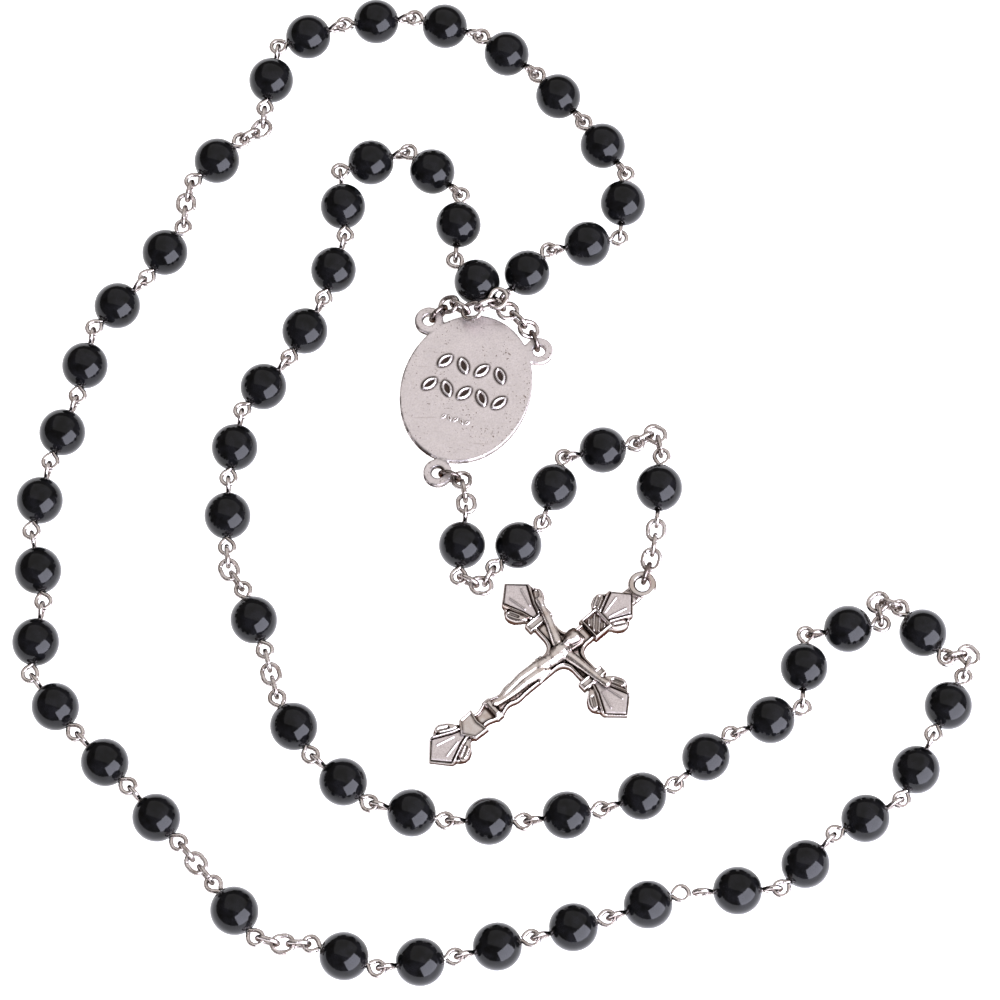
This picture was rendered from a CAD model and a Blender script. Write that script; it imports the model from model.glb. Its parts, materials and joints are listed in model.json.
import json
import math

import bpy
import numpy as np
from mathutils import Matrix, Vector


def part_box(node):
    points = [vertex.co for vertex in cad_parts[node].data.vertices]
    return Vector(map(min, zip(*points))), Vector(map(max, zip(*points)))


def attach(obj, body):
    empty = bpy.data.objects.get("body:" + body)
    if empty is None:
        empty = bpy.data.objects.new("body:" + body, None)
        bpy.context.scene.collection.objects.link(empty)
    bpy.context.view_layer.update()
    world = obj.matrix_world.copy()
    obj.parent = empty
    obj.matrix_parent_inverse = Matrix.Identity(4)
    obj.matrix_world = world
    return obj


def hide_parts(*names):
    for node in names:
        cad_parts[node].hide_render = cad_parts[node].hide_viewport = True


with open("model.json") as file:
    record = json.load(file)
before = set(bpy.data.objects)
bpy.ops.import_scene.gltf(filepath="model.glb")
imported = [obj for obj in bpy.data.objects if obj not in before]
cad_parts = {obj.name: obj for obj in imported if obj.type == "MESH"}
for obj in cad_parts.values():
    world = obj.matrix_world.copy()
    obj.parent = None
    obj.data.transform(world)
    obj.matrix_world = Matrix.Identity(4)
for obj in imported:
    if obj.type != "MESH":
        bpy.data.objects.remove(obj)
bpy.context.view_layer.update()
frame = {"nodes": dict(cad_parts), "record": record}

# Shapes are in millimetres until a mesh is made; MM turns them into the scene's metres.
MM = 0.001

# Wire
WIRE_R = 0.36
CORE_R = 0.33
EYE_R = 1.1
LINK_R = 1.25
LINK_HALF = 0.3
JUMP_R = 1.5
TUBE_SIDES = 14

# Beads
BEAD_R = 3.53
BEAD_HALF = 3.6
BORE_R = 0.45
DIMPLE_R = 0.8
DIMPLE_DEPTH = 0.24

# Medal, in its own frame: origin at the middle of its oval, before its turn
MEDAL_TURN = -17
MEDAL_RX, MEDAL_RY = 10, 12.5
MEDAL_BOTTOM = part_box("medal")[0].z / MM + 0.03
MEDAL_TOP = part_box("medal")[1].z / MM - 0.08
MEDAL_LUGS = [(-8.9, 9.3), (8.9, 9.3), (0, -14.7)]
LUG_R = 2.2
LUG_HOLE_R = 0.95

# Crucifix, in its own frame: origin at the crossing, +y to the hanging ring
CROSS_TURN = -49
SHAFT_DOWN = 27
SHAFT_UP = 13.6
ARM_REACH = 14
FAN_LENGTH = 7.4
BAIL_AT = (0, 15.4, 1.8)
BAIL_RING_R = 1.62
BAIL_HALF_WIDTH = 0.55
BAIL_HALF_HEIGHT = 0.42

# Boxes on the crucifix: middle x and y, then half width and half height
COLLARS = [(-6.1, 0, 0.75, 2.25), (6.1, 0, 0.75, 2.25)]
PLAQUE = (0, 6.1, 2.0, 1.75)
FOOT_REST = (0, -14.4, 1.9, 0.7)
FOOT_REST_TOP = (0, -14.4, 1.5, 0.62)
BAIL_NECK = (0, 13.4, 1.3, 0.9)

# Outlines on the crucifix. The fans and panels are one side each, from the shaft outwards
SHIELD = [(-2.05, -17.0), (0, -17.4), (2.05, -17.0), (1.95, -19.4), (0, -20.9), (-1.95, -19.4)]
FAN_SIDE = [
    (1.5, 0), (1.7, 0.7), (2.35, 1.1), (3.05, 1.6), (3.5, 2.4), (3.5, 3.2), (3.1, 3.9),
    (2.75, 4.2), (2.65, 5.0)
]
FAN_TIP = 7.35
PANEL_SIDE = [(0.35, 0.3), (0.85, 2.0), (2.2, 4.9)]
PANEL_TIP = 6.95
PANEL_EDGE = 0.12

# Room left round an outline on the grid of its relief
MARGIN = 0.4

UP = np.array([0.0, 0.0, 1.0])


# ---------------------------------------------------------------- meshes

class Shape:
    """Vertices and faces of one piece, gathered from several closed shells."""

    def __init__(self):
        self.verts, self.faces, self.count = [], [], 0

    def add(self, verts, faces):
        self.verts.append(np.asarray(verts, float))
        self.faces.extend(tuple(i + self.count for i in f) for f in faces)
        self.count += len(verts)

    def place(self, name, node, slot, material, marks=None):
        mesh = bpy.data.meshes.new(name)
        mesh.from_pydata((np.concatenate(self.verts) * MM).tolist(), [], self.faces)
        return place_mesh(mesh, name, node, material, marks)


def place_mesh(mesh, name, node, material, marks=None):
    """Puts a mesh in the scene in place of a CAD node, on that node's body."""
    mesh.polygons.foreach_set("use_smooth", [True] * len(mesh.polygons))
    for label, values in (marks or {}).items():
        layer = mesh.attributes.new(label, "FLOAT", "POINT")
        layer.data.foreach_set("value", np.asarray(values, np.float32))
    mesh.materials.append(material)
    mesh.update()
    obj = bpy.data.objects.new(name, mesh)
    bpy.context.scene.collection.objects.link(obj)
    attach(obj, body_of(node))
    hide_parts(node)
    return obj


def body_of(node):
    bodies = frame["record"]["behaviour"]["bodies"]
    return next(b for b, members in bodies.items() if node in members)


def unit(v):
    return np.asarray(v, float) / np.linalg.norm(v)


def smooth_curve(points, steps):
    """Catmull-Rom curve through the points."""
    p = np.asarray(points, float)
    p = np.concatenate([[2 * p[0] - p[1]], p, [2 * p[-1] - p[-2]]])
    out = []
    for i in range(1, len(p) - 2):
        for t in np.arange(steps) / steps:
            out.append(0.5 * (
                2 * p[i]
                + (p[i + 1] - p[i - 1]) * t
                + (2 * p[i - 1] - 5 * p[i] + 4 * p[i + 1] - p[i + 2]) * t * t
                + (3 * p[i] - p[i - 1] - 3 * p[i + 1] + p[i + 2]) * t ** 3
            ))
    out.append(p[-2])
    return np.array(out)


def tube(path, radius, sides=TUBE_SIDES):
    """A closed shell along an open path. radius is a number or one per point."""
    path = np.asarray(path, float)
    radius = np.broadcast_to(radius, len(path))
    tangent = np.gradient(path, axis=0)
    tangent /= np.linalg.norm(tangent, axis=1)[:, None]
    side = np.cross(tangent[0], UP)
    if np.linalg.norm(side) < 0.2:
        side = np.cross(tangent[0], [1.0, 0.3, 0.0])
    rings = []
    for p, t, r in zip(path, tangent, radius):
        side = unit(side - t * (side @ t))
        other = np.cross(t, side)
        a = np.arange(sides) * 2 * math.pi / sides
        rings.append(p + r * (np.outer(np.cos(a), side) + np.outer(np.sin(a), other)))
    verts = np.concatenate(rings)
    faces = []
    for i in range(len(path) - 1):
        for k in range(sides):
            j = (k + 1) % sides
            faces.append((i * sides + k, i * sides + j, (i + 1) * sides + j, (i + 1) * sides + k))
    faces.append(tuple(reversed(range(sides))))
    last = (len(path) - 1) * sides
    faces.append(tuple(range(last, last + sides)))
    return verts, faces


def loop_faces(rings, sides):
    """Faces of a shell that closes on itself both ways, from rings of vertices."""
    faces = []
    for i in range(rings):
        n = (i + 1) % rings
        for k in range(sides):
            j = (k + 1) % sides
            faces.append((i * sides + k, n * sides + k, n * sides + j, i * sides + j))
    return faces


def cut_wire(path, radius):
    """A wire with two slightly rounded cut ends."""
    path = np.asarray(path, float)
    a = path[0] + unit(path[0] - path[1]) * 0.05
    b = path[-1] + unit(path[-1] - path[-2]) * 0.05
    r = np.full(len(path) + 2, radius)
    r[0] = r[-1] = radius * 0.82
    return tube(np.concatenate([[a], path, [b]]), r)


def capsule(a, b, ra, rb):
    """A limb with round ends between two points."""
    a, b = np.asarray(a, float), np.asarray(b, float)
    axis = unit(b - a)
    steps = np.radians([88, 60, 35, 12])
    path = [a - axis * ra * math.sin(s) for s in steps]
    r = [ra * math.cos(s) for s in steps]
    path += [a + (b - a) * t for t in (0.25, 0.5, 0.75)]
    r += [ra + (rb - ra) * t for t in (0.25, 0.5, 0.75)]
    path += [b + axis * rb * math.sin(s) for s in steps[::-1]]
    r += [rb * math.cos(s) for s in steps[::-1]]
    return tube(path, np.array(r))


# ---------------------------------------------------------------- the frame's own solids

def solids(node):
    """The separate solids of a CAD node, each as its vertices in millimetres."""
    mesh = frame["nodes"][node].data
    mesh.calc_loop_triangles()
    co = np.empty(len(mesh.vertices) * 3)
    mesh.vertices.foreach_get("co", co)
    tri = np.empty(len(mesh.loop_triangles) * 3, int)
    mesh.loop_triangles.foreach_get("vertices", tri)
    points, index = np.unique(
        np.round(co.reshape(-1, 3) / MM, 4), axis=0, return_inverse=True
    )
    tri = index.ravel()[tri].reshape(-1, 3)
    label = np.arange(len(points))
    while True:
        low = label[tri].min(axis=1)
        new = label.copy()
        np.minimum.at(new, tri.ravel(), np.repeat(low, 3))
        new = new[new]
        if (new == label).all():
            break
        label = new
    return [points[label == k] for k in np.unique(label)]


def middle(points):
    return (points.min(0) + points.max(0)) / 2


def axes(points):
    """Longest, middle and shortest directions of a cloud of points."""
    centred = points - points.mean(0)
    return np.linalg.svd(centred, full_matrices=False)[2]


def box_middle(points, basis):
    local = points @ basis.T
    return middle(local) @ basis


def local_frame(node, turn, low_side, offset):
    """Place of a flat part: its turn is known, and its extents give its origin."""
    points = np.concatenate(solids(node))
    a = math.radians(turn)
    x_axis = np.array([math.cos(a), math.sin(a), 0])
    y_axis = np.array([-math.sin(a), math.cos(a), 0])
    across, along = points @ x_axis, points @ y_axis
    x0 = (across.min() + across.max()) / 2
    y0 = (along.min() if low_side else along.max()) + offset
    return x0 * x_axis + y0 * y_axis, np.array([x_axis, y_axis, UP])


# ---------------------------------------------------------------- materials

class Finish:
    """A procedural material built around one Principled shader."""

    def __init__(self, name, **constants):
        self.material = bpy.data.materials.new(name)
        self.material.use_nodes = True
        self.tree = self.material.node_tree
        self.shader = self.tree.nodes["Principled BSDF"]
        self.where = self.node("ShaderNodeTexCoord").outputs["Object"]
        for label, value in constants.items():
            self.shader.inputs[label.replace("_", " ")].default_value = value

    def node(self, kind, inputs=None, **settings):
        n = self.tree.nodes.new(kind)
        for label, value in settings.items():
            setattr(n, label, value)
        for label, value in (inputs or {}).items():
            self.join(value, n.inputs[label])
        return n

    def join(self, value, socket):
        if isinstance(value, bpy.types.NodeSocket):
            self.tree.links.new(value, socket)
        else:
            socket.default_value = value

    def limit(self, value, low, high, out_low=0.0, out_high=1.0):
        return self.node("ShaderNodeMapRange", {
            "Value": value, "From Min": low, "From Max": high,
            "To Min": out_low, "To Max": out_high,
        }).outputs["Result"]

    def noise(self, size_mm, low=0.35, high=0.65, detail=3.0, stretch=None):
        where = self.where
        if stretch:
            where = self.node(
                "ShaderNodeMapping", {"Vector": where, "Rotation": stretch[0], "Scale": stretch[1]}
            ).outputs["Vector"]
        n = self.node("ShaderNodeTexNoise", {
            "Vector": where, "Scale": 1 / (size_mm * MM), "Detail": detail,
        })
        return self.limit(n.outputs["Fac"], low, high)

    def mark(self, label):
        return self.node("ShaderNodeAttribute", attribute_name=label).outputs["Fac"]

    def maths(self, how, a, b):
        n = self.node("ShaderNodeMath", operation=how, use_clamp=True)
        self.join(a, n.inputs[0])
        self.join(b, n.inputs[1])
        return n.outputs[0]

    def blend(self, factor, a, b):
        n = self.node("ShaderNodeMix", data_type="RGBA")
        self.join(factor, n.inputs[0])
        for value, socket in ((a, n.inputs[6]), (b, n.inputs[7])):
            self.join((*value, 1) if isinstance(value, tuple) else value, socket)
        return n.outputs[2]

    def colour(self, value):
        self.join(value, self.shader.inputs["Base Color"])

    def rough(self, value):
        self.join(value, self.shader.inputs["Roughness"])

    def shade_edges(self, value, amount, start, end):
        """Darkens the parts of a polished surface that turn away."""
        facing = self.node("ShaderNodeLayerWeight", {"Blend": 0.5}).outputs["Facing"]
        return self.blend(self.limit(facing, start, end, 0, amount), value, EDGE_SHADE)

    def bump(self, height, depth_mm):
        n = self.node("ShaderNodeBump", {
            "Height": height, "Distance": depth_mm * MM, "Strength": 1.0,
        })
        self.join(n.outputs["Normal"], self.shader.inputs["Normal"])


SILVER = (0.86, 0.82, 0.80)
DULL_SILVER = (0.64, 0.59, 0.57)
TARNISH = (0.20, 0.14, 0.11)
SOOT = (0.035, 0.028, 0.026)
EDGE_SHADE = (0.06, 0.045, 0.04)
EDGE_TINT = (0.35, 0.31, 0.29, 1)


def bead_finish():
    f = Finish("jet_glass", Specular_IOR_Level=0.20)
    f.colour(f.blend(f.noise(1.5), (0.002, 0.002, 0.002), (0.006, 0.006, 0.007)))
    f.rough(f.limit(f.noise(0.8), 0, 1, 0.07, 0.13))
    f.bump(f.noise(0.5, 0.2, 0.8), 0.004)
    return f.material


def wire_finish(name, tarnish, roughness):
    f = Finish(name, Metallic=1.0, Specular_Tint=EDGE_TINT)
    dark = f.maths("MULTIPLY", f.noise(0.9, 0.42, 0.7), tarnish)
    base = f.blend(dark, DULL_SILVER, TARNISH)
    base = f.blend(f.maths("MULTIPLY", f.mark("aged"), 0.8), base, (0.13, 0.10, 0.09))
    hollow = f.node("ShaderNodeAmbientOcclusion", {"Distance": 0.5 * MM}, samples=8)
    base = f.shade_edges(base, 0.9, 0.2, 0.75)
    f.colour(f.blend(f.limit(hollow.outputs["AO"], 0.75, 0.25), base, SOOT))
    f.rough(f.limit(f.noise(0.4), 0, 1, roughness - 0.06, roughness + 0.08))
    f.bump(f.noise(0.35, 0.2, 0.8), 0.01)
    return f.material


def medal_finish():
    f = Finish("satin_medal", Metallic=1.0, Specular_Tint=EDGE_TINT)
    field = f.blend(f.noise(2.5), (0.70, 0.645, 0.635), (0.76, 0.70, 0.69))
    field = f.blend(f.noise(0.25, 0.35, 0.75), field, (0.60, 0.55, 0.54))
    pits = f.maths("MULTIPLY", f.noise(0.32, 0.66, 0.71, 1.0), f.noise(4.0, 0.42, 0.62))
    scratches = f.noise(
        1.2, 0.70, 0.73, 1.0, stretch=((0, 0, 0.9), (0.12, 1.6, 1.0))
    )
    field = f.blend(f.maths("MULTIPLY", scratches, 0.3), field, (0.34, 0.28, 0.25))
    field = f.blend(pits, field, (0.17, 0.12, 0.10))
    edge = f.maths("MULTIPLY", f.mark("edge"), f.noise(1.4, 0.40, 0.56))
    field = f.blend(edge, field, SOOT)
    field = f.blend(f.maths("MULTIPLY", f.mark("inlay"), 0.85), field, (0.20, 0.14, 0.12))
    field = f.blend(f.limit(f.mark("cavity"), -0.03, -0.09), field, SILVER)
    field = f.shade_edges(field, 0.7, 0.5, 0.9)
    f.colour(f.blend(f.limit(f.mark("cavity"), 0.012, 0.07), field, (0.06, 0.042, 0.036)))
    f.rough(f.limit(f.noise(0.5), 0, 1, 0.40, 0.52))
    f.bump(f.noise(0.3, 0.2, 0.8), 0.012)
    return f.material


def cross_finish():
    f = Finish("antique_cross", Metallic=1.0, Specular_Tint=EDGE_TINT)
    grain = f.blend(f.noise(0.22, 0.35, 0.7), (0.72, 0.66, 0.65), (0.52, 0.46, 0.45))
    metal = f.blend(f.noise(1.6, 0.45, 0.75), DULL_SILVER, (0.50, 0.41, 0.36))
    base = f.shade_edges(f.blend(f.mark("panel"), metal, grain), 0.9, 0.2, 0.75)
    normal = f.node("ShaderNodeTexCoord").outputs["Normal"]
    height = f.node("ShaderNodeSeparateXYZ", {"Vector": normal}).outputs["Z"]
    back = f.limit(height, -0.4, -0.9, 0, 0.75)
    base = f.blend(back, base, f.blend(f.noise(0.8), (0.26, 0.22, 0.20), (0.16, 0.13, 0.12)))
    f.colour(f.blend(f.limit(f.mark("cavity"), 0.01, 0.13), base, (0.07, 0.045, 0.035)))
    f.rough(f.maths("ADD", f.limit(f.mark("panel"), 0, 1, 0.17, 0.40), f.maths("MULTIPLY", back, 0.5)))
    f.bump(f.noise(0.3, 0.2, 0.8), 0.012)
    return f.material


def figure_finish():
    f = Finish("antique_figure", Metallic=1.0, Specular_Tint=EDGE_TINT)
    metal = f.blend(f.noise(1.2, 0.45, 0.75), (0.70, 0.64, 0.61), (0.50, 0.41, 0.36))
    metal = f.blend(f.maths("MULTIPLY", f.mark("hair"), 0.85), metal, (0.10, 0.07, 0.055))
    metal = f.shade_edges(metal, 0.9, 0.2, 0.75)
    hollow = f.node("ShaderNodeAmbientOcclusion", {"Distance": 0.9 * MM}, samples=8)
    f.colour(f.blend(f.limit(hollow.outputs["AO"], 0.72, 0.22), metal, (0.05, 0.033, 0.026)))
    f.rough(f.limit(f.noise(0.5), 0, 1, 0.22, 0.32))
    f.bump(f.noise(0.4, 0.2, 0.8), 0.008)
    return f.material


# ---------------------------------------------------------------- beads, pins and links

def bead_profile():
    """Half of a bead's section: distance along the axis and radius, from bore to girth."""
    lip = BEAD_HALF * math.sqrt(1 - (DIMPLE_R / BEAD_R) ** 2)
    points = [(0.0, BORE_R), (lip - DIMPLE_DEPTH, BORE_R)]
    for t in (0.2, 0.45, 0.7, 0.9):
        points.append((
            lip - DIMPLE_DEPTH * (1 - t) ** 1.6,
            BORE_R + (DIMPLE_R - BORE_R) * t,
        ))
    start = math.acos(DIMPLE_R / BEAD_R)
    for a in np.linspace(start, 0, 20):
        points.append((BEAD_HALF * math.sin(a), BEAD_R * math.cos(a)))
    return points


def bead(centre, axis, turns=40):
    half = bead_profile()
    ring = half[1:] + [(-x, r) for x, r in half[-2:0:-1]]
    side = unit(np.cross(axis, UP))
    other = np.cross(axis, side)
    verts = []
    for x, r in ring:
        for k in range(turns):
            a = 2 * math.pi * k / turns
            verts.append(centre + x * axis + r * (math.cos(a) * side + math.sin(a) * other))
    return verts, [face[::-1] for face in loop_faces(len(ring), turns)]


# An eye in its own plane: how far out from its centre, and how far to its side.
EYE_PATH = [
    (-1.75, 0), (-1.5, 0.03), (-1.12, 0.38), (-0.72, 0.83), (0, EYE_R), (0.78, 0.78),
    (EYE_R, 0), (0.78, -0.78), (0, -EYE_R), (-0.72, -0.83), (-1.08, -0.5), (-1.3, -0.38)
]


def pin(points):
    """A wire through a bead with an eye bent at each end, from a CAD pin's vertices."""
    axis = axes(points)[0]
    t = points @ axis
    halves = []
    for s in (-1, 1):
        tip = (s * t).max()
        eye = points[s * t > tip - 2 * (EYE_R + WIRE_R) + 0.05]
        normal = axes(eye)[2]
        halves.append((s, box_middle(eye, np.array([axis, normal, np.cross(axis, normal)])), normal))
    axis = unit(halves[1][1] - halves[0][1])
    path = []
    for s, centre, normal in halves:
        across = unit(np.cross(normal, axis))
        if across @ UP < -0.1:
            across = -across
        eye = smooth_curve(EYE_PATH, 4)
        bent = [centre + s * x * axis + y * across for x, y in eye]
        path.append(np.array(bent))
    whole = np.concatenate([path[0][::-1], path[1]])
    return cut_wire(whole, CORE_R + 0.01), (halves[0][1] + halves[1][1]) / 2, axis


def link(points, seed):
    """An oval chain link, with its cut on one side, from a CAD link's vertices."""
    basis = axes(points)
    centre = box_middle(points, basis)
    long_axis, wide = basis[:2]
    round_ring = np.ptp(points @ long_axis) - np.ptp(points @ wide) < LINK_HALF
    radius = JUMP_R if round_ring else LINK_R
    half = 0 if round_ring else LINK_HALF
    rng = np.random.default_rng(seed)
    start = rng.choice([0.35, 0.65]) * math.pi
    gap = 0.03
    path = []
    for a in np.linspace(start + gap, start + 2 * math.pi - gap, 44):
        x, y = radius * math.cos(a), radius * math.sin(a)
        path.append(centre + (x + math.copysign(half, x)) * long_axis + y * wide)
    return cut_wire(path, WIRE_R), round_ring


def build_runs(finishes):
    """Every bead, pin and link, each in the place of its CAD solid."""
    for node in sorted(frame["nodes"]):
        shape = Shape()
        if node.endswith("_pins"):
            beads = Shape()
            for s in solids(node):
                wire, centre, axis = pin(s)
                shape.add(*wire)
                beads.add(*bead(centre, axis))
            shape.place(node.replace("_pins", "_wire"), node, "wire", finishes["wire"])
            black = node.replace("_pins", "_black")
            beads.place(black.replace("_black", "_glass"), black, "bead", finishes["bead"])
        elif node.startswith("chain_"):
            aged = []
            for i, s in enumerate(solids(node)):
                (verts, faces), round_ring = link(s, ord(node[-1]) * 8 + i)
                shape.add(verts, faces)
                aged += [float(round_ring)] * len(verts)
            shape.place(node + "_links", node, "link", finishes["link"], {"aged": aged})


# ---------------------------------------------------------------- reliefs

def box_distance(x, y, cx, cy, hx, hy, corner=0.0):
    dx, dy = np.abs(x - cx) - hx + corner, np.abs(y - cy) - hy + corner
    return np.hypot(np.maximum(dx, 0), np.maximum(dy, 0)) + np.minimum(np.maximum(dx, dy), 0) - corner


def line_distance(x, y, a, b):
    dx, dy = b[0] - a[0], b[1] - a[1]
    t = np.clip(((x - a[0]) * dx + (y - a[1]) * dy) / (dx * dx + dy * dy), 0, 1)
    return np.hypot(x - a[0] - t * dx, y - a[1] - t * dy)


def polygon_distance(x, y, points):
    """Distance to a closed outline, negative inside."""
    d = np.full(x.shape, 1e9)
    inside = np.zeros(x.shape, bool)
    for a, b in zip(points, points[1:] + points[:1]):
        d = np.minimum(d, line_distance(x, y, a, b))
        crosses = (a[1] > y) != (b[1] > y)
        with np.errstate(divide="ignore", invalid="ignore"):
            at = (b[0] - a[0]) * (y - a[1]) / (b[1] - a[1]) + a[0]
        inside ^= crosses & (x < at)
    return np.where(inside, -d, d)


def soft_union(a, b, k):
    h = np.clip(0.5 + 0.5 * (b - a) / k, 0, 1)
    return b + (a - b) * h - k * h * (1 - h)


def step(d, width):
    """1 well inside an outline, 0 outside it."""
    t = np.clip(0.5 - d / width, 0, 1)
    return t * t * (3 - 2 * t)


def ridge(d, half_width):
    return np.clip(1 - (d / half_width) ** 2, 0, 1)


def blurred(a, radius):
    for axis in (0, 1):
        for _ in range(2):
            total = sum(np.roll(a, s, axis) for s in range(-radius, radius + 1))
            a = total / (2 * radius + 1)
    return a


def relief(outline, top, low, high, cell, bevel, bottom):
    """A closed plate: outline gives a distance and top a height over x and y.

    Returns its vertices, its faces, its marks, and the x, y and distance of each upper vertex."""
    xs = np.arange(low[0], high[0] + cell, cell)
    ys = np.arange(low[1], high[1] + cell, cell)
    x, y = np.meshgrid(xs, ys, indexing="ij")
    d = outline(x, y)
    e = 0.02
    gx = (outline(x + e, y) - outline(x - e, y)) / (2 * e)
    gy = (outline(x, y + e) - outline(x, y - e)) / (2 * e)
    out = np.clip(d, 0, None)
    size = np.maximum(np.hypot(gx, gy), 0.3)
    px, py = x - out * gx / size, y - out * gy / size
    height = top(x, y, d)
    inside = d < 0
    cells = inside[:-1, :-1] | inside[1:, :-1] | inside[:-1, 1:] | inside[1:, 1:]
    used = np.zeros(x.shape, bool)
    for a in (0, 1):
        for b in (0, 1):
            used[a:a + cells.shape[0], b:b + cells.shape[1]] |= cells
    near = np.clip(-d / bevel, 0, 1)
    round_off = bevel * (1 - np.sqrt(np.clip(1 - (1 - near) ** 2, 0, 1)))
    z_top = np.maximum(height - round_off, bottom + 0.35)
    z_bottom = bottom + 0.6 * round_off
    index = np.full(x.shape, -1)
    index[used] = np.arange(used.sum())
    n = int(used.sum())
    verts = np.concatenate([
        np.stack([px[used], py[used], z_top[used]], 1),
        np.stack([px[used], py[used], z_bottom[used]], 1),
    ])
    i, j = np.nonzero(cells)
    quad = np.stack([index[i, j], index[i + 1, j], index[i + 1, j + 1], index[i, j + 1]], 1)
    faces = quad.tolist() + (quad[:, ::-1] + n).tolist()
    padded = np.pad(cells, 1)
    for di, dj, a, b in ((-1, 0, 3, 0), (1, 0, 1, 2), (0, -1, 0, 1), (0, 1, 2, 3)):
        open_side = ~padded[i + 1 + di, j + 1 + dj]
        qa, qb = quad[open_side, a], quad[open_side, b]
        faces += np.stack([qb, qa, qa + n, qb + n], 1).tolist()
    cavity = blurred(np.where(used, height, 0), 3) / np.maximum(blurred(used * 1.0, 3), 0.01) - height
    marks = {"cavity": np.concatenate([cavity[used], np.zeros(n)])}
    return verts, faces, marks, (px[used], py[used], d[used])


def to_world(verts, origin, basis):
    v = np.asarray(verts)
    return origin * np.array([1, 1, 0]) + v @ basis


# Medal

def medal_outline(x, y):
    plate = (np.hypot(x / MEDAL_RX, y / MEDAL_RY) - 1) * MEDAL_RX
    d = plate
    for lx, ly in MEDAL_LUGS:
        d = soft_union(d, np.hypot(x - lx, y - ly) - LUG_R, 0.5)
    for lx, ly in MEDAL_LUGS:
        d = np.maximum(d, LUG_HOLE_R - np.hypot(x - lx, y - ly))
    return d


def leaf(x, y, cx, cy, turn, length, width):
    """Distance to a pointed leaf shape, negative inside."""
    a = math.radians(turn)
    u = (x - cx) * math.cos(a) + (y - cy) * math.sin(a)
    v = -(x - cx) * math.sin(a) + (y - cy) * math.cos(a)
    r = (length ** 2 + width ** 2) / (4 * width)
    offset = r - width / 2
    return np.maximum(np.hypot(u, v + offset), np.hypot(u, v - offset)) - r


# Rows of plain leaves across the medal: height of the row, how many, their spacing and size
LEAF_ROWS = [(3.4, 4, 2.95, 2.6), (-1.0, 5, 2.8, 2.6), (-5.6, 5, 0.95, 1.05)]


def medal_leaves(x, y):
    """Distance to each leaf of the medal, negative inside, and the leaf's size."""
    for row_y, count, pitch, size in LEAF_ROWS:
        for i in range(count):
            cx = pitch * (i - (count - 1) / 2)
            lean = 90 + (34 if i % 2 else -34)
            yield leaf(x, y, cx, row_y, lean, size, size * 0.5), size


def medal_top(x, y, d):
    h = np.full(x.shape, MEDAL_TOP)
    for q, size in medal_leaves(x, y):
        h += 0.13 * size * ridge(q + 0.08, 0.09 * size)
    return h


def medal_inlay(x, y):
    inlay = np.zeros(x.shape)
    for q, size in medal_leaves(x, y):
        inlay += step(q + 0.11 * size, 0.12)
    return inlay


def build_medal(material):
    origin, basis = local_frame("medal", MEDAL_TURN, False, -MEDAL_RY)
    reach = (MEDAL_LUGS[1][0] + LUG_R + MARGIN, MEDAL_RY + MARGIN)
    low = (-reach[0], MEDAL_LUGS[2][1] - LUG_R - MARGIN)
    verts, faces, marks, (x, y, d) = relief(
        medal_outline, medal_top, low, reach, cell=0.1, bevel=0.22, bottom=MEDAL_BOTTOM
    )
    left = np.clip(0.55 - x / 14 - y / 30, 0.15, 1)
    edge = np.clip(1 + d / 0.35, 0, 1) * left
    marks["edge"] = np.concatenate([edge, edge])
    marks["inlay"] = np.concatenate([medal_inlay(x, y), 0 * x])
    shape = Shape()
    shape.add(to_world(verts, origin, basis), faces)
    shape.place("medal_plate", "medal", "medal", material, marks)


# Crucifix

def mirrored(side, tip):
    return side + [(0, tip)] + [(-x, y) for x, y in reversed(side)]


def fans(x, y):
    """Each terminal's own coordinates: sideways, and outwards from its start."""
    return [
        (x, y - SHAFT_UP + FAN_LENGTH),
        (-x, -y - SHAFT_DOWN + FAN_LENGTH),
        (-y, x - ARM_REACH + FAN_LENGTH),
        (y, -x - ARM_REACH + FAN_LENGTH),
    ]


def shaft_half(y):
    """Half width of the shaft: wavy below the feet."""
    wave = np.clip((-y - 9) / 3, 0, 1)
    return 1.55 + 0.28 * wave * np.cos((y + 18.8) * 2 * math.pi / 4.4)


def cross_outline(x, y):
    shaft = np.maximum(np.abs(x) - shaft_half(y), np.abs(y + 6.7) - 13.5)
    arms = box_distance(x, y, 0, 0, 7, 1.5)
    d = soft_union(shaft, arms, 1.9)
    for collar in COLLARS:
        d = np.minimum(d, box_distance(x, y, *collar, corner=0.2))
    d = np.minimum(d, box_distance(x, y, *PLAQUE, corner=0.1))
    d = np.minimum(d, polygon_distance(x, y, SHIELD))
    d = np.minimum(d, box_distance(x, y, *FOOT_REST, corner=0.2))
    d = np.minimum(d, box_distance(x, y, *BAIL_NECK, corner=0.2))
    for u, v in fans(x, y):
        d = np.minimum(d, polygon_distance(u, v, mirrored(FAN_SIDE, FAN_TIP)))
    return d


def fan_panel(u, v):
    """Distance to the flat panel of a terminal, negative inside."""
    return polygon_distance(u, v, mirrored(PANEL_SIDE, PANEL_TIP))


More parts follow.
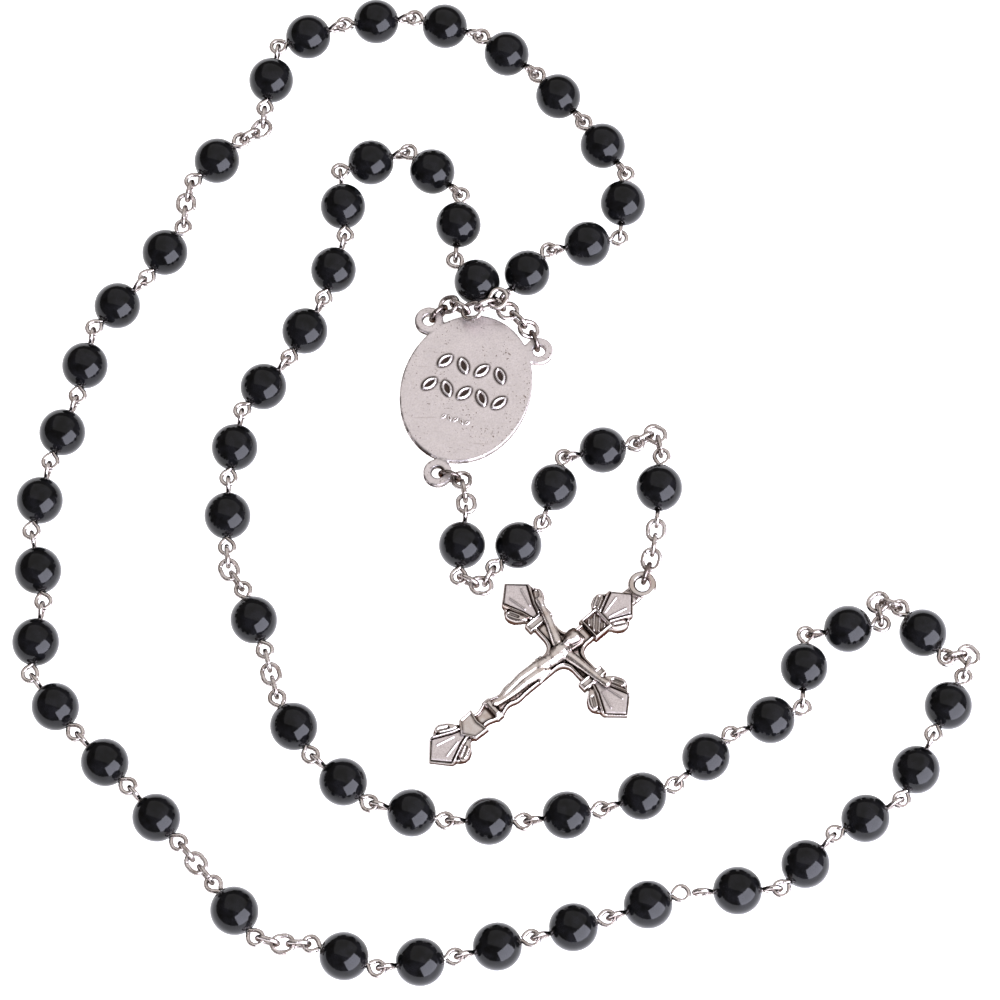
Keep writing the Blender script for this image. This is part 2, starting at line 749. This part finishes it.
def fan_height(u, v, h):
    """Adds one terminal's panel, rays, ribs and side scrolls to the height h."""
    here = step(-v - 0.2, 0.5) * step(np.abs(u) - 3.9, 0.3) * step(v - 8, 0.3)
    face = fan_panel(u, v)
    inside = step(face, PANEL_EDGE)
    sides = step(v - 4.9, 0.8)
    rib = ridge(face - 0.36, 0.34)
    g = 1.05 + rib * (0.30 + 0.55 * sides)
    for s in (-1, 1):
        curl = line_distance(u, v, (s * 1.75, 1.1), (s * 2.75, 2.9))
        g = np.maximum(g, 0.95 + 0.9 * np.sqrt(np.clip(1 - (curl / 0.85) ** 2, 0, 1)))
        g = g - 0.28 * ridge(line_distance(u, v, (s * 2.1, 1.9), (s * 2.75, 3.1)), 0.3)
        tail = line_distance(u, v, (s * 2.72, 3.9), (s * 2.5, 5.0))
        g = np.maximum(g, 0.95 + 0.45 * ridge(tail, 0.3))
    flat = 1.45 + 0.03 * v
    for lean in (-13, 13):
        a = math.radians(lean)
        start, end = [(r * math.sin(a), r * math.cos(a)) for r in (2.2, 5.0)]
        flat = flat + 0.14 * ridge(line_distance(u, v, start, end), 0.16)
    g = g * (1 - inside) + flat * inside
    return h * (1 - here) + g * here


def cross_top(x, y, d):
    h = 1.08 + 0.42 * ridge(d + 0.30, 0.30)
    for u, v in fans(x, y):
        h = fan_height(u, v, h)
    for collar in COLLARS:
        q = box_distance(x, y, *collar, corner=0.15)
        h = np.where(q < 0.12, np.maximum(h * step(q, 0.2), 1.55 + 0.2 * ridge(q + 0.2, 0.2)), h)
    q = box_distance(x, y, *PLAQUE, corner=0.1)
    frame_top = 1.42 + 0.6 * ridge(q + 0.34, 0.34)
    hatch = 0.26 * ridge(((x + y) / 1.414 + 0.4) % 0.8 - 0.4, 0.22)
    h = np.where(q < 0, frame_top + hatch * step(q + 0.72, 0.1), h)
    q = polygon_distance(x, y, SHIELD)
    h = np.where(q < 0, 1.5 + 0.25 * ridge(q + 0.22, 0.22) + 0.2 * np.clip(-q - 0.4, 0, 0.8), h)
    q = box_distance(x, y, *FOOT_REST_TOP, corner=0.2)
    return np.where(q < 0, 1.5 + 0.6 * np.clip(-q / 0.4, 0, 1), h)


def cross_panels(x, y):
    """1 on the flat panels of the four terminals, 0 elsewhere."""
    return np.maximum.reduce([step(fan_panel(u, v), PANEL_EDGE) for u, v in fans(x, y)])


def bail_ring(around=48, sides=18):
    """The crucifix's hanging ring, slightly flattened."""
    ring = []
    for s in np.arange(around) * 2 * math.pi / around:
        out = np.array([math.cos(s), math.sin(s), 0])
        for t in np.arange(sides) * 2 * math.pi / sides:
            reach = BAIL_RING_R + BAIL_HALF_WIDTH * math.cos(t)
            ring.append(BAIL_AT + out * reach + UP * BAIL_HALF_HEIGHT * math.sin(t))
    return ring, loop_faces(around, sides)


def build_cross(material):
    origin, basis = local_frame("cross", CROSS_TURN, True, SHAFT_DOWN)
    low = (-ARM_REACH - MARGIN, -SHAFT_DOWN - MARGIN)
    high = (ARM_REACH + MARGIN, SHAFT_UP + 3 * MARGIN)
    verts, faces, marks, (x, y, _) = relief(
        cross_outline, cross_top, low, high, cell=0.085, bevel=0.3, bottom=0.0
    )
    shape = Shape()
    shape.add(to_world(verts, origin, basis), faces)
    ring, quads = bail_ring()
    shape.add(to_world(ring, origin, basis), quads)
    panel = cross_panels(x, y)
    unmarked = np.zeros(len(ring))
    marks["cavity"] = np.concatenate([marks["cavity"], unmarked])
    marks["panel"] = np.concatenate([panel, 0 * panel, unmarked])
    shape.place("cross_plate", "cross", "cross", material, marks)
    return origin, basis


# Figure: limbs between two points, [x, y, z, radius] each, in the crucifix's frame

FIGURE = [
    # trunk
    ((0.0, -0.9, 2.05, 1.35), (0.0, -2.4, 2.1, 1.15)),
    ((0.0, -2.4, 2.0, 1.1), (-0.1, -3.9, 2.0, 0.98)),
    ((-0.1, -4.0, 2.05, 1.1), (-0.15, -4.9, 2.1, 1.15)),
    ((-1.25, -0.5, 2.1, 0.75), (1.25, -0.6, 2.1, 0.75)),
    ((-0.5, -1.2, 2.75, 0.52), (-0.35, -1.5, 2.75, 0.5)),
    ((0.5, -1.2, 2.75, 0.52), (0.35, -1.5, 2.75, 0.5)),
    ((0.0, -3.0, 2.6, 0.4), (-0.1, -3.6, 2.55, 0.42)),
    # arms
    ((-1.5, -0.4, 2.1, 0.86), (-2.9, 0.15, 2.05, 0.76)),
    ((-2.9, 0.15, 2.05, 0.78), (-4.7, 0.85, 2.0, 0.64)),
    ((-4.7, 0.85, 2.0, 0.68), (-6.0, 1.25, 2.05, 0.64)),
    ((-6.0, 1.25, 2.05, 0.64), (-7.4, 1.7, 2.0, 0.50)),
    ((-7.4, 1.7, 2.1, 0.56), (-8.2, 1.95, 2.2, 0.70)),
    ((1.5, -0.45, 2.1, 0.86), (2.9, -0.15, 2.05, 0.76)),
    ((2.9, -0.15, 2.05, 0.78), (4.7, 0.15, 2.0, 0.64)),
    ((4.7, 0.15, 2.0, 0.68), (6.0, 0.35, 2.05, 0.64)),
    ((6.0, 0.35, 2.05, 0.64), (7.5, 0.6, 2.0, 0.50)),
    ((7.5, 0.6, 2.1, 0.56), (8.3, 0.8, 2.2, 0.70)),
    # cloth round the hips, with a hanging end
    ((-1.1, -4.1, 2.2, 0.42), (1.0, -4.6, 2.3, 0.45)),
    ((-1.1, -4.7, 2.35, 0.42), (1.0, -5.2, 2.4, 0.45)),
    ((-1.0, -5.4, 2.4, 0.42), (0.7, -5.9, 2.5, 0.42)),
    ((-0.9, -6.0, 2.5, 0.36), (0.3, -6.5, 2.55, 0.34)),
    ((1.1, -4.4, 2.3, 0.45), (1.5, -6.4, 1.9, 0.32)),
    ((0.7, -4.8, 2.5, 0.35), (0.9, -6.9, 2.2, 0.28)),
    # legs
    ((-0.5, -5.2, 2.25, 0.86), (-0.75, -8.3, 2.65, 0.62)),
    ((0.55, -5.2, 2.25, 0.86), (0.3, -8.3, 2.6, 0.62)),
    ((-0.75, -8.3, 2.65, 0.62), (-0.65, -10.2, 2.3, 0.55)),
    ((0.3, -8.3, 2.6, 0.62), (0.25, -10.2, 2.25, 0.55)),
    ((-0.65, -10.2, 2.3, 0.55), (-0.35, -12.6, 2.05, 0.34)),
    ((0.25, -10.2, 2.25, 0.55), (0.1, -12.5, 2.05, 0.34)),
    ((-0.35, -12.6, 2.1, 0.36), (-0.25, -13.9, 2.5, 0.4)),
    ((0.1, -12.5, 2.1, 0.36), (-0.05, -13.7, 2.3, 0.4)),
    # neck, head, hair and beard
    ((-0.1, -0.2, 2.2, 0.55), (-0.25, 0.7, 2.4, 0.55)),
    ((-0.35, 1.1, 2.6, 0.88), (-0.2, 2.0, 2.6, 1.08)),
    ((-1.2, 0.4, 2.15, 0.34), (-1.25, 2.1, 2.3, 0.5)),
    ((0.7, 0.5, 2.1, 0.34), (0.85, 2.2, 2.3, 0.5)),
    ((-1.1, 2.5, 2.5, 0.5), (0.7, 2.65, 2.5, 0.5)),
    ((-0.45, 0.35, 2.9, 0.38), (-0.42, 0.85, 3.1, 0.44)),
    ((-0.36, 1.25, 3.42, 0.14), (-0.31, 1.75, 3.5, 0.12)),
    ((-0.8, 1.9, 3.4, 0.13), (0.2, 1.98, 3.4, 0.13)),
]


def build_figure(material, origin, basis):
    shape = Shape()
    for a, b in FIGURE:
        shape.add(*capsule(a[:3], b[:3], a[3], b[3]))
    mesh = bpy.data.meshes.new("corpus_draft")
    mesh.from_pydata(np.concatenate(shape.verts).tolist(), [], shape.faces)
    draft = bpy.data.objects.new("corpus_draft", mesh)
    bpy.context.scene.collection.objects.link(draft)
    remesh = draft.modifiers.new("skin", "REMESH")
    remesh.mode = "VOXEL"
    remesh.voxel_size = 0.08
    soften = draft.modifiers.new("soften", "SMOOTH")
    soften.factor = 0.5
    soften.iterations = 3
    depsgraph = bpy.context.evaluated_depsgraph_get()
    skin = bpy.data.meshes.new_from_object(draft.evaluated_get(depsgraph))
    bpy.data.objects.remove(draft)
    co = np.empty(len(skin.vertices) * 3)
    skin.vertices.foreach_get("co", co)
    local = co.reshape(-1, 3)
    skin.vertices.foreach_set("co", (to_world(local, origin, basis) * MM).ravel())
    skin.materials.clear()
    place_mesh(skin, "corpus_figure", "corpus", material, {"hair": hair(*local.T)})


def hair(x, y, z):
    """How much a point of the figure belongs to its hair."""
    crown = np.clip((y - 2.05 + 0.35 * (3.1 - z)) / 0.25, 0, 1)
    sides = np.clip((np.abs(x + 0.25) - 0.72) / 0.15, 0, 1) * np.clip((3.2 - z) / 0.2, 0, 1)
    near_head = (np.abs(x + 0.25) < 1.65) & (y > 0.3)
    return np.maximum(crown, sides) * near_head


# ---------------------------------------------------------------- floor, light, camera

# The camera looks along +y and down: millimetres and degrees
LOOK_AT = (1.63, -5.3, 3.5)
ELEVATION = 68
DISTANCE = 560
FIELD_OF_VIEW = 15.43

# Metres
FLOOR_HALF = 3.0
FLOOR_GAP = 0.00005


def softbox(name, place, size, power, colour):
    """An area light that faces the origin."""
    data = bpy.data.lights.new(name, "AREA")
    data.shape = "RECTANGLE"
    data.size, data.size_y = size
    data.energy = power
    data.color = colour
    obj = bpy.data.objects.new(name, data)
    obj.location = place
    obj.rotation_euler = obj.location.to_track_quat("Z", "Y").to_euler()
    bpy.context.scene.collection.objects.link(obj)


def build_studio():
    scene = bpy.context.scene
    scene.view_settings.view_transform = "Standard"
    world = bpy.data.worlds.new("studio")
    scene.world = world
    world.use_nodes = True
    background = world.node_tree.nodes["Background"]
    background.inputs["Color"].default_value = (0.16, 0.145, 0.14, 1)
    background.inputs["Strength"].default_value = 1.0

    mesh = bpy.data.meshes.new("floor")
    corners = [(x * FLOOR_HALF, y * FLOOR_HALF, 0) for x, y in ((-1, -1), (1, -1), (1, 1), (-1, 1))]
    mesh.from_pydata(corners, [], [(0, 1, 2, 3)])
    paper = bpy.data.materials.new("white_paper")
    paper.use_nodes = True
    shader = paper.node_tree.nodes["Principled BSDF"]
    shader.inputs["Base Color"].default_value = (0.9, 0.9, 0.9, 1)
    shader.inputs["Roughness"].default_value = 0.9
    shader.inputs["Emission Color"].default_value = (1, 1, 1, 1)
    shader.inputs["Emission Strength"].default_value = 1.0
    mesh.materials.append(paper)
    floor = bpy.data.objects.new("floor", mesh)
    floor.location.z = -FLOOR_GAP
    scene.collection.objects.link(floor)

    softbox("overhead", (0.1, 0.32, 0.75), (1.9, 1.5), 6.8, (1, 0.98, 0.975))
    softbox("front_right", (0.44, -0.46, 0.29), (0.90, 0.74), 23.0, (0.84, 0.85, 1))

    data = bpy.data.cameras.new("camera")
    data.angle = math.radians(FIELD_OF_VIEW)
    camera = bpy.data.objects.new("camera", data)
    scene.collection.objects.link(camera)
    e = math.radians(ELEVATION)
    target = np.array(LOOK_AT) * MM
    camera.location = target + DISTANCE * MM * np.array([0, -math.cos(e), math.sin(e)])
    camera.rotation_euler = (math.radians(90 - ELEVATION), 0, 0)
    scene.camera = camera


finishes = {
    "bead": bead_finish(),
    "wire": wire_finish("bright_wire", 0.55, 0.22),
    "link": wire_finish("pink_wire", 0.75, 0.26),
}
build_runs(finishes)
build_medal(medal_finish())
build_figure(figure_finish(), *build_cross(cross_finish()))
build_studio()
